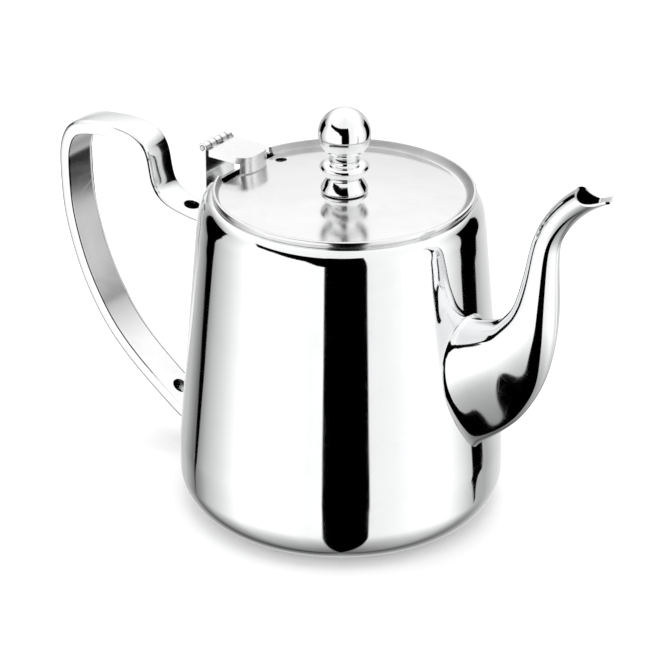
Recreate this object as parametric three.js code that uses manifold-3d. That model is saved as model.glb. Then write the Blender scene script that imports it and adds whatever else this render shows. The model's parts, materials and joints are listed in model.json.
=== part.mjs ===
// Stainless-steel table teapot, about 0.9 litre, with a hinged lid.
// Millimetres, +Z up. The origin is the centre of the base's underside, on the pot's own axis.
// +X points along the spout, -X to the handle and the hinge.
import * as THREE from "three";
import { mergeVertices } from "three/addons/utils/BufferGeometryUtils.js";
import Module from "manifold-3d";

const wasm = await Module();
wasm.setup();

// ---- driving dimensions ----
const SHEET = 0.9; // wall of every pressed piece
const GAP = 0.3; // between pieces that are welded or rest on each other

const BELLY_RADIUS = 58; // widest radius of the pot
const FOOT_CORNER = [12, 13]; // rounded lower corner, across and up
const BASE_RADIUS = 45.7; // welded base disc
const WALL_HEIGHTS = [24, 105]; // where the straight taper starts and ends
const WALL_AT_100 = 51; // wall's radius at height 100
const TAPER = 0.09; // mm inwards per mm of height
const SHOULDER = [44.36, 107.5]; // centre of the rolled shoulder's curve
const SHOULDER_SIZE = [5.68, 9.4]; // that curve's half sizes, across and up
const RIM_HEIGHT = SHOULDER[1] + SHOULDER_SIZE[1];
const MOUTH_RADIUS = 44.3;
const NOTCH = [-39.6, 15.3, 112.5]; // rim cut-out by the hinge: x it starts at, half width, floor

const LID_OFFSET = 1.2; // the lid's rim and knob sit this far towards the spout
const LID_RADIUS = 45.8;
const LID_SEAT = RIM_HEIGHT + GAP; // underside of the lid's rim
const LID_CROWN = 118.4; // top of the lid's domed floor
const LID_NOTCH_X = -38.6; // the lid's own cut-out by the hinge starts here

const PIN_X = -54; // hinge axis, parallel to Y
const PIN_Z = 123.7;
const PIN_RADIUS = 0.9;
const BORE = 1.1;
const BARREL_RADIUS = 1.9;
const KNUCKLES = 5;
const HINGE_WIDTH = 16;

const HANDLE_WIDTH = 14;
const WIDE_TURNS = 60; // facets round the pot and lid
const SMALL_TURNS = 24; // facets round knob, screw and knuckles

// ---- solids ----
function solid(geometry) {
  const bare = geometry.clone();
  bare.deleteAttribute("normal");
  bare.deleteAttribute("uv");
  const merged = mergeVertices(bare, 1e-4);
  return new wasm.Manifold(
    new wasm.Mesh({
      numProp: 3,
      vertProperties: merged.attributes.position.array,
      triVerts: new Uint32Array(merged.index.array),
    }),
  );
}

function geometryOf(shape) {
  const mesh = shape.getMesh();
  const geometry = new THREE.BufferGeometry();
  geometry.setAttribute("position", new THREE.BufferAttribute(mesh.vertProperties, 3));
  geometry.setIndex(new THREE.BufferAttribute(mesh.triVerts, 1));
  const flat = geometry.toNonIndexed();
  flat.computeVertexNormals();
  return flat;
}

const steel = (name, colour, roughness) =>
  new THREE.MeshStandardMaterial({ name, color: colour, roughness, metalness: 1 });

const group = new THREE.Group();
group.name = "teapot";

function add(name, shape, material) {
  const mesh = new THREE.Mesh(geometryOf(shape), material);
  mesh.name = name;
  group.add(mesh);
  return mesh;
}

// Points of a curve about [r, z] with the given half sizes, from one angle to another in degrees.
function arc(centre, size, from, to, steps) {
  const points = [];
  for (let i = 0; i <= steps; i += 1) {
    const a = THREE.MathUtils.degToRad(from + ((to - from) * i) / steps);
    points.push([centre[0] + size[0] * Math.cos(a), centre[1] + size[1] * Math.sin(a)]);
  }
  return points;
}

// Turns a profile of [radius, height] points round the Z axis through (x, 0).
// The profile runs up the outside, and closes on itself or starts and ends on the axis.
function turned(profile, turns, x = 0) {
  const points = profile.map(([r, z]) => new THREE.Vector2(Math.max(r, 0), z));
  const geometry = new THREE.LatheGeometry(points, turns);
  geometry.rotateX(Math.PI / 2);
  geometry.translate(x, 0, 0);
  return solid(geometry);
}

// A closed ring's profile ends where it starts.
const ringOf = (points) => [...points, points[0]];

function block(x0, x1, y0, y1, z0, z1) {
  const geometry = new THREE.BoxGeometry(x1 - x0, y1 - y0, z1 - z0);
  geometry.translate((x0 + x1) / 2, (y0 + y1) / 2, (z0 + z1) / 2);
  return solid(geometry);
}

// A round bar along "x", "y" or "z", from one coordinate to the other.
function bar(axis, radius, from, to, across, along, turns = SMALL_TURNS) {
  const geometry = new THREE.CylinderGeometry(radius, radius, to - from, turns);
  const middle = (from + to) / 2;
  if (axis === "x") {
    geometry.rotateZ(Math.PI / 2);
    geometry.translate(middle, across, along);
  } else if (axis === "y") {
    geometry.translate(across, middle, along);
  } else {
    geometry.rotateX(Math.PI / 2);
    geometry.translate(across, along, middle);
  }
  return solid(geometry);
}

// An outline drawn in the XZ plane, carried from y0 to y1.
function slabXZ(outline, y0, y1) {
  const shape = new THREE.Shape(outline.map(([x, z]) => new THREE.Vector2(x, z)));
  const geometry = new THREE.ExtrudeGeometry(shape, { depth: y1 - y0, bevelEnabled: false });
  geometry.rotateX(Math.PI / 2);
  geometry.translate(0, y1, 0);
  return solid(geometry);
}

// Skins a row of sections, each a loop of the same number of Vector3 points, and caps both ends.
function lofted(sections) {
  const count = sections[0].length;
  const position = sections.flat().flatMap((p) => [p.x, p.y, p.z]);
  const index = [];
  for (let s = 0; s + 1 < sections.length; s += 1) {
    for (let i = 0; i < count; i += 1) {
      const a = s * count + i;
      const b = s * count + ((i + 1) % count);
      index.push(a, b, b + count, a, b + count, a + count);
    }
  }
  const first = sections[0];
  const u = new THREE.Vector3().subVectors(first[Math.floor(count / 2)], first[0]).setY(0).normalize();
  const flat = first.map((p) => {
    const d = new THREE.Vector3().subVectors(p, first[0]);
    return new THREE.Vector2(d.dot(u), p.y);
  });
  const turn = Math.sign(THREE.ShapeUtils.area(flat));
  const last = (sections.length - 1) * count;
  for (const corners of THREE.ShapeUtils.triangulateShape(flat, [])) {
    const facing = Math.sign(THREE.ShapeUtils.area(corners.map((i) => flat[i])));
    const [a, b, c] = facing === turn ? corners : corners.reverse();
    index.push(a, c, b);
    index.push(last + a, last + b, last + c);
  }
  const geometry = new THREE.BufferGeometry();
  geometry.setAttribute("position", new THREE.Float32BufferAttribute(position, 3));
  geometry.setIndex(index);
  const made = solid(geometry);
  if (made.volume() > 0) return made;
  geometry.setIndex(index.slice().reverse());
  return solid(geometry);
}

// ---- pot body ----
const wallRadius = (z) => WALL_AT_100 + TAPER * (100 - z);

// Outside of the pot from the base's edge up to the rim, grown by "out".
function bodyOutline(out) {
  const grown = (size) => size.map((v) => v + out);
  const footCentre = [BELLY_RADIUS - FOOT_CORNER[0], FOOT_CORNER[1]];
  return [
    ...arc(footCentre, grown(FOOT_CORNER), -90, 0, 7),
    [BELLY_RADIUS - 0.05 + out, 18.5],
    ...WALL_HEIGHTS.map((z) => [wallRadius(z) + out, z]),
    ...arc(SHOULDER, grown(SHOULDER_SIZE), 12, 90, 6),
  ];
}

const shellOutline = [
  ...bodyOutline(0),
  [MOUTH_RADIUS, RIM_HEIGHT],
  [MOUTH_RADIUS, RIM_HEIGHT - SHEET],
  ...bodyOutline(-SHEET).reverse(),
];
const potOuter = [[0, -GAP], ...bodyOutline(GAP), [0, RIM_HEIGHT + GAP]];
const potSolid = turned(potOuter, WIDE_TURNS);
const notch = block(-60, NOTCH[0], -NOTCH[1], NOTCH[1], NOTCH[2], RIM_HEIGHT + 2);

// Strainer: round holes punched through the wall behind the spout.
const HOLE_RADIUS = 1.6;
const HOLE_PITCH = 6.2;
function strainerHoles() {
  const holes = [];
  for (let row = -3; row <= 3; row += 1) {
    const z = 61 + row * HOLE_PITCH * 0.87;
    const across = 1 - Math.abs(row) / 6;
    const shift = row % 2 === 0 ? 0 : HOLE_PITCH / 2;
    for (let i = -2; i <= 2; i += 1) {
      const y = i * HOLE_PITCH + shift;
      if (Math.abs(y) < 9 * across + 0.5) holes.push(bar("x", HOLE_RADIUS, 48, 60, y, z, 8));
    }
  }
  return holes;
}

let bodyShell = turned(ringOf(shellOutline), WIDE_TURNS).subtract(notch);
for (const hole of strainerHoles()) bodyShell = bodyShell.subtract(hole);
const polished = steel("polished steel", 0xd9dadb, 0.06);
add("body_shell", bodyShell, polished);

const basePan = turned(
  [
    [0, 0],
    [BASE_RADIUS, 0],
    [BASE_RADIUS, SHEET],
    [0, SHEET],
  ],
  WIDE_TURNS,
);
add("base_pan", basePan, steel("brushed underside", 0xb9bbbc, 0.3));

// ---- spout: two pressed halves welded along the middle ----
// Each row: inner guide x, z, outer guide x, z, half width, and how far the section is egg-shaped.
const SPOUT_ROWS = [
  [44, 82.0, 44, 31.0, 14.6, 0.24],
  [53, 83.0, 55, 35.0, 14.2, 0.24],
  [60, 84.4, 63.5, 41.0, 12.4, 0.26],
  [64.8, 86.2, 72.5, 49.5, 10.7, 0.28],
  [67.6, 89.0, 79.4, 59.5, 9.4, 0.26],
  [70.1, 92.4, 84.0, 70.0, 8.6, 0.2],
  [71.9, 96.4, 86.4, 81.0, 7.9, 0.1],
  [73.3, 101.5, 87.2, 92.5, 7.1, 0.04],
  [74.8, 108.0, 86.9, 103.5, 6.1, 0],
  [76.1, 114.8, 86.6, 112.5, 5.3, 0],
  [77.8, 121.4, 87.2, 119.5, 4.8, 0],
  [80.6, 127.8, 89.6, 125.2, 4.6, 0],
  [84.6, 133.8, 93.3, 130.3, 4.6, 0],
  [89.4, 139.0, 98.2, 134.8, 4.8, 0],
  [94.6, 143.0, 103.4, 138.2, 5.0, 0],
  [101.0, 146.4, 109.6, 141.6, 5.2, 0],
];
const SPOUT_AROUND = 18;
const SPOUT_STEPS = 30;

// The same rows as smooth curves, sampled evenly; "inset" makes the inside of the metal.
function spoutSections(inset) {
  const inner = new THREE.CatmullRomCurve3(
    SPOUT_ROWS.map((r) => new THREE.Vector3(r[0], 0, r[1])),
    false,
    "centripetal",
  );
  const outer = new THREE.CatmullRomCurve3(
    SPOUT_ROWS.map((r) => new THREE.Vector3(r[2], 0, r[3])),
    false,
    "centripetal",
  );
  const sections = [];
  for (let s = 0; s <= SPOUT_STEPS; s += 1) {
    const t = s / SPOUT_STEPS;
    const a = inner.getPoint(t);
    const b = outer.getPoint(t);
    const row = t * (SPOUT_ROWS.length - 1);
    const i = Math.min(Math.floor(row), SPOUT_ROWS.length - 2);
    const f = row - i;
    const width = THREE.MathUtils.lerp(SPOUT_ROWS[i][4], SPOUT_ROWS[i + 1][4], f) - inset;
    const egg = THREE.MathUtils.lerp(SPOUT_ROWS[i][5], SPOUT_ROWS[i + 1][5], f);
    const centre = new THREE.Vector3().addVectors(a, b).multiplyScalar(0.5);
    const half = new THREE.Vector3().subVectors(a, b).multiplyScalar(0.5);
    half.setLength(half.length() - inset);
    const loop = [];
    for (let k = 0; k < SPOUT_AROUND; k += 1) {
      const angle = (2 * Math.PI * k) / SPOUT_AROUND;
      const p = centre.clone().addScaledVector(half, Math.cos(angle));
      p.y = width * Math.sin(angle) * (1 + egg * Math.cos(angle) - egg * 0.25);
      loop.push(p);
    }
    sections.push(loop);
  }
  return sections;
}

// The mouth is cut to a hollow curve that leaves a pouring lip at the front.
const mouthCurve = new THREE.CubicBezierCurve(
  new THREE.Vector2(91.6, 146.5),
  new THREE.Vector2(93.8, 136.8),
  new THREE.Vector2(99.6, 136.4),
  new THREE.Vector2(105.8, 141.0),
);
const mouthCut = slabXZ(
  [...mouthCurve.getPoints(8).map((p) => [p.x, p.y]), [120, 150], [120, 160], [85, 160]],
  -12,
  12,
);
const MOUTH_TRIM = 105.2; // the lip's tip
const lipTrim = block(MOUTH_TRIM, 130, -12, 12, 120, 160);
const spout = lofted(spoutSections(0))
  .subtract(lofted(spoutSections(SHEET)))
  .subtract(potSolid)
  .subtract(mouthCut)
  .subtract(lipTrim);
const seam = GAP / 2;
add("spout_left_half", spout.subtract(block(40, 130, -30, seam, 0, 200)), polished);
add("spout_right_half", spout.subtract(block(40, 130, -seam, 30, 0, 200)), polished);

// ---- handle: a bent channel closed by a strip on the finger side ----
// Centre line from the upper weld round to the lower weld: x, z and depth of the section.
const HANDLE_LINE = [
  [-46, 92.8, 4.0],
  [-57.6, 93.1, 4.0],
  [-66.2, 94.3, 4.1],
  [-72.9, 96.3, 4.2],
  [-77.8, 100.2, 4.2],
  [-80.0, 105.9, 4.2],
  [-81.2, 112.0, 4.3],
  [-83.8, 116.9, 4.4],
  [-89.0, 119.4, 4.5],
  [-96.0, 119.9, 4.6],
  [-103.2, 119.4, 4.8],
  [-110.0, 118.2, 5.0],
  [-114.9, 115.6, 5.2],
  [-117.7, 110.4, 5.2],
  [-118.7, 102.8, 5.1],
  [-118.3, 90.5, 5.1],
  [-117.0, 80.9, 5.2],
  [-114.5, 71.2, 5.2],
  [-111.0, 61.4, 5.3],
  [-106.4, 52.0, 5.4],
  [-100.4, 42.6, 5.4],
  [-92.6, 33.9, 5.4],
  [-83.4, 26.0, 5.4],
  [-73.6, 18.6, 5.4],
  [-64.0, 12.4, 5.4],
  [-50, 6.0, 5.4],
];
const HANDLE_STEPS = 46;
const HANDLE_EDGE = 1.8; // rounding of the channel's outer edges
const handlePath = new THREE.CatmullRomCurve3(
  HANDLE_LINE.map(([x, z]) => new THREE.Vector3(x, 0, z)),
  false,
  "centripetal",
);

// Carries a section drawn as [across, out] points along the handle; "out" is away from the fingers.
function alongHandle(section) {
  const sections = [];
  for (let s = 0; s <= HANDLE_STEPS; s += 1) {
    const t = s / HANDLE_STEPS;
    const centre = handlePath.getPoint(t);
    const tangent = handlePath.getTangent(t);
    const out = new THREE.Vector3(tangent.z, 0, -tangent.x);
    const row = t * (HANDLE_LINE.length - 1);
    const i = Math.min(Math.floor(row), HANDLE_LINE.length - 2);
    const depth = THREE.MathUtils.lerp(HANDLE_LINE[i][2], HANDLE_LINE[i + 1][2], row - i);
    sections.push(
      section(depth / 2).map(([across, away]) => {
        const p = centre.clone().addScaledVector(out, away);
        p.y = across;
        return p;
      }),
    );
  }
  return lofted(sections);
}

const halfWidth = HANDLE_WIDTH / 2;
function channelSection(half) {
  const round = (side, from, to) =>
    arc(
      [side * (halfWidth - HANDLE_EDGE), half - HANDLE_EDGE],
      [HANDLE_EDGE, HANDLE_EDGE],
      from,
      to,
      2,
    );
  return [
    [-halfWidth + SHEET, -half],
    [-halfWidth, -half],
    ...round(-1, 180, 90),
    ...round(1, 90, 0),
    [halfWidth, -half],
    [halfWidth - SHEET, -half],
    [halfWidth - SHEET, half - SHEET],
    [-halfWidth + SHEET, half - SHEET],
  ];
}
function stripSection(half) {
  const side = halfWidth - SHEET - GAP;
  return [
    [-side, -half + 0.05],
    [-side, -half + SHEET],
    [side, -half + SHEET],
    [side, -half + 0.05],
  ];
}

// Each half carries a vent hole close to its weld.
const VENT_RADIUS = 3;
const upperVent = bar("z", VENT_RADIUS, 94.4, 102, -65.1, 0, 16);
const lowerVentPoint = new THREE.Vector3(-72.2, 0, 21.6);
const lowerVentGeometry = new THREE.CylinderGeometry(VENT_RADIUS, VENT_RADIUS, 6, 16);
lowerVentGeometry.rotateX(Math.PI / 2);
lowerVentGeometry.rotateY(THREE.MathUtils.degToRad(32));
lowerVentGeometry.translate(lowerVentPoint.x, lowerVentPoint.y, lowerVentPoint.z);
add(
  "handle_channel",
  alongHandle(channelSection).subtract(potSolid).subtract(upperVent),
  polished,
);
add(
  "handle_inner_strip",
  alongHandle(stripSection).subtract(potSolid).subtract(solid(lowerVentGeometry)),
  steel("satin steel", 0xcfd0d0, 0.22),
);

// ---- hinge ----
const knucklePitch = HINGE_WIDTH / KNUCKLES;
const knuckleStart = (i) => -HINGE_WIDTH / 2 + i * knucklePitch + GAP / 2;
const knuckleEnd = (i) => knuckleStart(i + 1) - GAP;
const isLidKnuckle = (i) => i % 2 === 1;
// Takes the room of the other leaf's knuckles, and the pin's bore, out of a leaf.
function withKnuckles(plate, own) {
  let leaf = plate;
  for (let i = 0; i < KNUCKLES; i += 1) {
    const a = knuckleStart(i);
    const b = knuckleEnd(i);
    if (own(i)) {
      leaf = leaf.add(bar("y", BARREL_RADIUS, a, b, PIN_X, PIN_Z));
    } else {
      const room = BARREL_RADIUS + GAP;
      leaf = leaf.subtract(
        block(PIN_X - room, PIN_X + room + 1.2, a - GAP, b + GAP, PIN_Z - room, PIN_Z + room),
      );
    }
  }
  return leaf.subtract(bar("y", BORE, -20, 20, PIN_X, PIN_Z));
}

// Upright leaf, its foot welded to the pot's wall above the handle.
const LEAF_HALF = HINGE_WIDTH / 2 + 0.5;
const LEAF_THICK = 1.2;
const UPRIGHT_X = PIN_X + BARREL_RADIUS - LEAF_THICK;
const FOOT = [96.6, 104]; // heights of the welded foot
const upright = block(UPRIGHT_X, UPRIGHT_X + LEAF_THICK, -LEAF_HALF, LEAF_HALF, FOOT[0], PIN_Z);
const uprightFoot = block(UPRIGHT_X, -45, -LEAF_HALF, LEAF_HALF, ...FOOT).subtract(potSolid);
const bodyLeaf = withKnuckles(upright.add(uprightFoot), (i) => !isLidKnuckle(i));
add("hinge_body_leaf", bodyLeaf, polished);

// Lid leaf: a tray with turned-down sides. Its rounded end drops to a pad welded on the lid.
const LEAF_TOP = PIN_Z - 0.1;
const LEAF_UNDER = LEAF_TOP - LEAF_THICK;
const LEAF_END_X = -34.7;
const PAD_START_X = -38;
const SIDE_DEPTH = 2.4;
const END_CORNER = [6.2, 7];
const PAD_BOTTOM = 117.68;
function leafSlab(inset, z0, z1) {
  const side = HINGE_WIDTH / 2 - inset;
  const end = LEAF_END_X - inset;
  const outline = new THREE.Shape();
  outline.moveTo(PIN_X, -side);
  outline.lineTo(end - END_CORNER[0], -side);
  outline.quadraticCurveTo(end, -side, end, -side + END_CORNER[1]);
  outline.lineTo(end, side - END_CORNER[1]);
  outline.quadraticCurveTo(end, side, end - END_CORNER[0], side);
  outline.lineTo(PIN_X, side);
  const geometry = new THREE.ExtrudeGeometry(outline, {
    depth: z1 - z0,
    bevelEnabled: false,
    curveSegments: 5,
  });
  geometry.translate(0, 0, z0);
  return solid(geometry);
}
const knuckleEdge = PIN_X + BARREL_RADIUS + 0.9;
const hollow = leafSlab(SHEET, 100, LEAF_UNDER);
const sides = leafSlab(0, LEAF_TOP - SIDE_DEPTH, LEAF_TOP)
  .subtract(hollow)
  .subtract(block(PIN_X - 1, knuckleEdge, -20, 20, 110, LEAF_UNDER));
const endWall = leafSlab(0, PAD_BOTTOM, LEAF_TOP).subtract(hollow);
const pad = leafSlab(0, PAD_BOTTOM, PAD_BOTTOM + SHEET);
const ahead = block(PAD_START_X, LEAF_END_X + 1, -20, 20, 110, 130);
const lidLeaf = withKnuckles(sides.add(endWall.add(pad).intersect(ahead)), isLidKnuckle);
add("hinge_lid_leaf", lidLeaf, steel("satin leaf", 0xd2d3d3, 0.2));

const pin = bar("y", PIN_RADIUS, -HINGE_WIDTH / 2 - 0.5, HINGE_WIDTH / 2 + 0.5, PIN_X, PIN_Z, 16);
add("hinge_pin", pin, polished);

// ---- lid ----
// The domed floor is centred on the pot's mouth, which it drops into. The rim round it stands
// LID_OFFSET further towards the spout, so its inner wall is steep behind and slopes in front.
const SCREW_RADIUS = 2;
const SCREW_HOLE = SCREW_RADIUS + GAP;
const DOME_DROP = 1156; // the floor falls by radius * radius / DOME_DROP
const domeHeight = (r) => LID_CROWN - (r * r) / DOME_DROP;
const DOME_RADII = [0, 14, 24, 32, 38, 41.6];
const SHIFT_FROM = 43; // the rim's offset grows from this radius to the next
const SHIFT_TO = 44.4;
const lidProfile = [
  ...DOME_RADII.map((r) => [r, domeHeight(r) - SHEET]),
  [42.6, 116],
  [43.2, 116.3],
  [43.45, LID_SEAT],
  [LID_RADIUS, LID_SEAT],
  [LID_RADIUS, 118.6],
  [45.6, 119.1],
  [45.1, 119.3],
  [44.7, 119.2],
  [44.4, 118.8],
  [43.6, 117.5],
  [43, 117],
  [42.5, 116.85],
  ...DOME_RADII.slice().reverse().map((r) => [r, domeHeight(r)]),
];
function shiftedRim(profile) {
  const points = profile.map(([r, z]) => new THREE.Vector2(r, z));
  const geometry = new THREE.LatheGeometry(points, WIDE_TURNS);
  geometry.rotateX(Math.PI / 2);
  const position = geometry.attributes.position;
  for (let i = 0; i < position.count; i += 1) {
    const r = Math.hypot(position.getX(i), position.getY(i));
    const share = THREE.MathUtils.clamp((r - SHIFT_FROM) / (SHIFT_TO - SHIFT_FROM), 0, 1);
    position.setX(i, position.getX(i) + LID_OFFSET * share);
  }
  return solid(geometry);
}
const VENT = [-34, 11.8, 2.1]; // centre and radius of the lid's steam hole
const lidVent = bar("z", VENT[2], 110, 125, VENT[0], VENT[1], 16);
const screwHole = bar("z", SCREW_HOLE, 110, 125, LID_OFFSET, 0, 16);
const lidNotch = block(-60, LID_NOTCH_X, -NOTCH[1], NOTCH[1], 100, 130);
const lidShell = shiftedRim(lidProfile).subtract(lidVent).subtract(screwHole).subtract(lidNotch);
add("lid_shell", lidShell, steel("lid steel", 0xe2e3e3, 0.08));

// ---- knob and its fixing ----
const knobBase = LID_CROWN + GAP;
const BALL_Z = 139.8;
const BALL_SIZE = [9.25, 9.2]; // half sizes across and up
const knobProfile = [
  [0, knobBase],
  [8.1, knobBase],
  [8.2, knobBase + 0.5],
  [8, knobBase + 1.5],
  [7.5, knobBase + 2.6],
  [6.8, knobBase + 3.7],
  [6.1, knobBase + 4.8],
  [6.5, knobBase + 5.1],
  [7.4, knobBase + 6.1],
  [8.25, knobBase + 7.5],
  [8.6, knobBase + 8.6],
  [8.6, knobBase + 9.2],
  [8, knobBase + 9.8],
  [7, knobBase + 10.4],
  [5.6, knobBase + 10.9],
  [5.3, knobBase + 12.3],
  ...arc([0, BALL_Z], BALL_SIZE, -54, 84, 11),
  [0, BALL_Z + BALL_SIZE[1]],
];
const THREAD_TOP = knobBase + 9;
const tapped = bar("z", SCREW_HOLE, knobBase - 1, THREAD_TOP + GAP, LID_OFFSET, 0, 16);
add("knob", turned(knobProfile, SMALL_TURNS, LID_OFFSET).subtract(tapped), polished);

const washerTop = LID_CROWN - SHEET - GAP;
const washer = turned(
  ringOf([
    [SCREW_HOLE, washerTop - 1],
    [6, washerTop - 1],
    [6, washerTop],
    [SCREW_HOLE, washerTop],
  ]),
  SMALL_TURNS,
  LID_OFFSET,
);
add("knob_washer", washer, steel("washer steel", 0xb5b7b8, 0.3));

const headTop = washerTop - 1 - GAP;
const screwBlank = turned(
  [
    [0, headTop - 2.4],
    [2.4, headTop - 2.3],
    [3.6, headTop - 1.5],
    [3.9, headTop],
    [SCREW_RADIUS, headTop],
    [SCREW_RADIUS, THREAD_TOP - 0.6],
    [SCREW_RADIUS - 0.6, THREAD_TOP],
    [0, THREAD_TOP],
  ],
  16,
  LID_OFFSET,
);
const slot = block(LID_OFFSET - 5, LID_OFFSET + 5, -0.5, 0.5, headTop - 3, headTop - 1.3);
add("knob_screw", screwBlank.subtract(slot), steel("screw steel", 0xaaacad, 0.3));

export default group;
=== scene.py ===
import json
import math

import bmesh
import bpy
import numpy as np
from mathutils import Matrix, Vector


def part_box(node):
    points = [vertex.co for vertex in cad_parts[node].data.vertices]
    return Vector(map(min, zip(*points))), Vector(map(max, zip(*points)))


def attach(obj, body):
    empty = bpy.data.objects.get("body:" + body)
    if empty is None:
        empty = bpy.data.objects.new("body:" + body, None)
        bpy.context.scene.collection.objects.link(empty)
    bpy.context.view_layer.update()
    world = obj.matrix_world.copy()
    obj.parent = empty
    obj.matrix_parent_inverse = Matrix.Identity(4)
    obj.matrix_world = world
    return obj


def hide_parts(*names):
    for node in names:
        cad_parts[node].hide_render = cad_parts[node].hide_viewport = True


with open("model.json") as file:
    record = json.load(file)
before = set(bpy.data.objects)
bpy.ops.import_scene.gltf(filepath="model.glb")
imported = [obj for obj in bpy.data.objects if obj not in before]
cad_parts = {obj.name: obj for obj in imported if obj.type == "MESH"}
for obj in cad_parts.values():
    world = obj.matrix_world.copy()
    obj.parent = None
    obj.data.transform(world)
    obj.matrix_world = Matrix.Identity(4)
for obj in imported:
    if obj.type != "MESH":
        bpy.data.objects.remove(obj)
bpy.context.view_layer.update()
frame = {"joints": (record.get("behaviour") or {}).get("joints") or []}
MM = 0.001  # the drawings are in millimetres

# ---------------------------------------------------------------------------------------------
# Pot body. One deep-drawn cup of 0.9 mm stainless steel, turned in at the foot and rolled over
# at the rim, mirror polished outside. The rim is cut away beside the hinge, and a strainer is
# punched through the wall where the spout will be welded.

_, body_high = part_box("body_shell")
SHEET = 0.9
BELLY_RADIUS = body_high.x / MM
RIM_HEIGHT = body_high.z / MM
FOOT_RADIUS = 46.0  # where the cup's bottom meets the base disc
FOOT_CORNER_HEIGHT = 13.0
WALL_AT_100 = 51.0  # wall's radius 100 mm up
TAPER = 0.09
SHOULDER_RADIUS = 44.36
SHOULDER_SIZE = (5.68, 9.4)  # rolled shoulder, half sizes across and up
SHOULDER_START = 8.2  # degrees up the shoulder's curve where it leaves the wall
MOUTH_RADIUS = 44.2
NOTCH_X = -39.6
NOTCH_HALF = 15.3
NOTCH_FLOOR = 112.5
FINE_TURNS = 224


def wall_radius(z):
    return WALL_AT_100 + TAPER * (100 - z)


def curve_points(centre, size, start, end, steps):
    """Points of an ellipse about (across, up), between two angles in degrees."""
    angles = np.radians(np.linspace(start, end, steps + 1))
    return [(centre[0] + size[0] * math.cos(a), centre[1] + size[1] * math.sin(a)) for a in angles]


def bezier_points(p0, p1, p2, steps):
    ts = np.linspace(0, 1, steps + 1)
    return [
        tuple((1 - t) ** 2 * a + 2 * t * (1 - t) * b + t * t * c for a, b, c in zip(p0, p1, p2))
        for t in ts
    ]


def body_outside():
    """The cup's outside as (radius, height), from the base disc up and over the rolled shoulder."""
    corner = curve_points(
        (FOOT_RADIUS, FOOT_CORNER_HEIGHT),
        (BELLY_RADIUS - FOOT_RADIUS, FOOT_CORNER_HEIGHT),
        -90,
        0,
        26,
    )
    wall_start = (wall_radius(25), 25)
    belly_pull = (BELLY_RADIUS, 25 - (BELLY_RADIUS - wall_start[0]) / TAPER)
    belly = bezier_points(corner[-1], belly_pull, wall_start, 8)[1:]
    wall = [(wall_radius(z), z) for z in np.arange(29, 108, 4.0)]
    shoulder = curve_points(
        (SHOULDER_RADIUS, RIM_HEIGHT - SHOULDER_SIZE[1]), SHOULDER_SIZE, SHOULDER_START, 90, 18
    )
    return corner + belly + wall + shoulder


def sheet_profile(outside, thickness):
    """Closes an outside line into a sheet of metal by laying its inside a thickness to the left."""
    line = np.array(outside)
    along = np.gradient(line, axis=0)
    along /= np.linalg.norm(along, axis=1)[:, None]
    inside = line + thickness * np.stack([-along[:, 1], along[:, 0]], 1)
    return [tuple(p) for p in line] + [tuple(p) for p in inside[::-1]]


def new_piece(name, points, faces):
    """A mesh object from points in millimetres, its faces turned outwards."""
    mesh = bpy.data.meshes.new(name)
    mesh.from_pydata([Vector(p) * MM for p in points], [], faces)
    shaped = bmesh.new()
    shaped.from_mesh(mesh)
    bmesh.ops.remove_doubles(shaped, verts=shaped.verts, dist=1e-7)
    bmesh.ops.recalc_face_normals(shaped, faces=shaped.faces)
    shaped.to_mesh(mesh)
    shaped.free()
    piece = bpy.data.objects.new(name, mesh)
    bpy.context.scene.collection.objects.link(piece)
    return piece


def turned(name, profile, turns=FINE_TURNS, x=0.0):
    """Turns a profile about the vertical line through (x, 0); it closes on itself or the axis."""
    on_axis = profile[0][0] == 0
    count = len(profile)
    points = []
    for k in range(turns):
        a = 2 * math.pi * k / turns
        points += [(x + r * math.cos(a), r * math.sin(a), z) for r, z in profile]
    faces = []
    last = count - 1 if on_axis else count
    for k in range(turns):
        here, there = k * count, (k + 1) % turns * count
        for i in range(last):
            j = (i + 1) % count
            faces.append((here + i, here + j, there + j, there + i))
    return new_piece(name, points, faces)


def bake(piece):
    """Makes a piece's modifiers permanent."""
    view = bpy.context.evaluated_depsgraph_get()
    view.update()
    made = bpy.data.meshes.new_from_object(piece.evaluated_get(view))
    piece.modifiers.clear()
    piece.data = made
    return piece


def carve(piece, *cutters):
    """Cuts pieces of scrap out of a piece, and throws the scrap away."""
    for cutter in cutters:
        cut = piece.modifiers.new("cut", "BOOLEAN")
        cut.operation = "DIFFERENCE"
        cut.solver = "EXACT"
        cut.object = cutter
    bake(piece)
    for cutter in cutters:
        bpy.data.objects.remove(cutter)
    return piece


def block(x0, x1, y0, y1, z0, z1):
    corners = [(x, y, z) for x in (x0, x1) for y in (y0, y1) for z in (z0, z1)]
    faces = [(0, 1, 3, 2), (4, 6, 7, 5), (0, 4, 5, 1), (2, 3, 7, 6), (0, 2, 6, 4), (1, 5, 7, 3)]
    return new_piece("scrap", corners, faces)


def rod(centre, direction, radius, length, turns=32):
    """A straight round bar about a centre, in millimetres."""
    axis = Vector(direction).normalized()
    side = axis.orthogonal().normalized()
    other = axis.cross(side)
    ends = [Vector(centre) + axis * s * length / 2 for s in (-1, 1)]
    points = [
        end + (side * math.cos(a) + other * math.sin(a)) * radius
        for end in ends
        for a in [2 * math.pi * k / turns for k in range(turns)]
    ]
    faces = [(k, (k + 1) % turns, turns + (k + 1) % turns, turns + k) for k in range(turns)]
    faces += [tuple(range(turns)), tuple(range(turns, 2 * turns))]
    return new_piece("scrap", points, faces)


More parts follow.
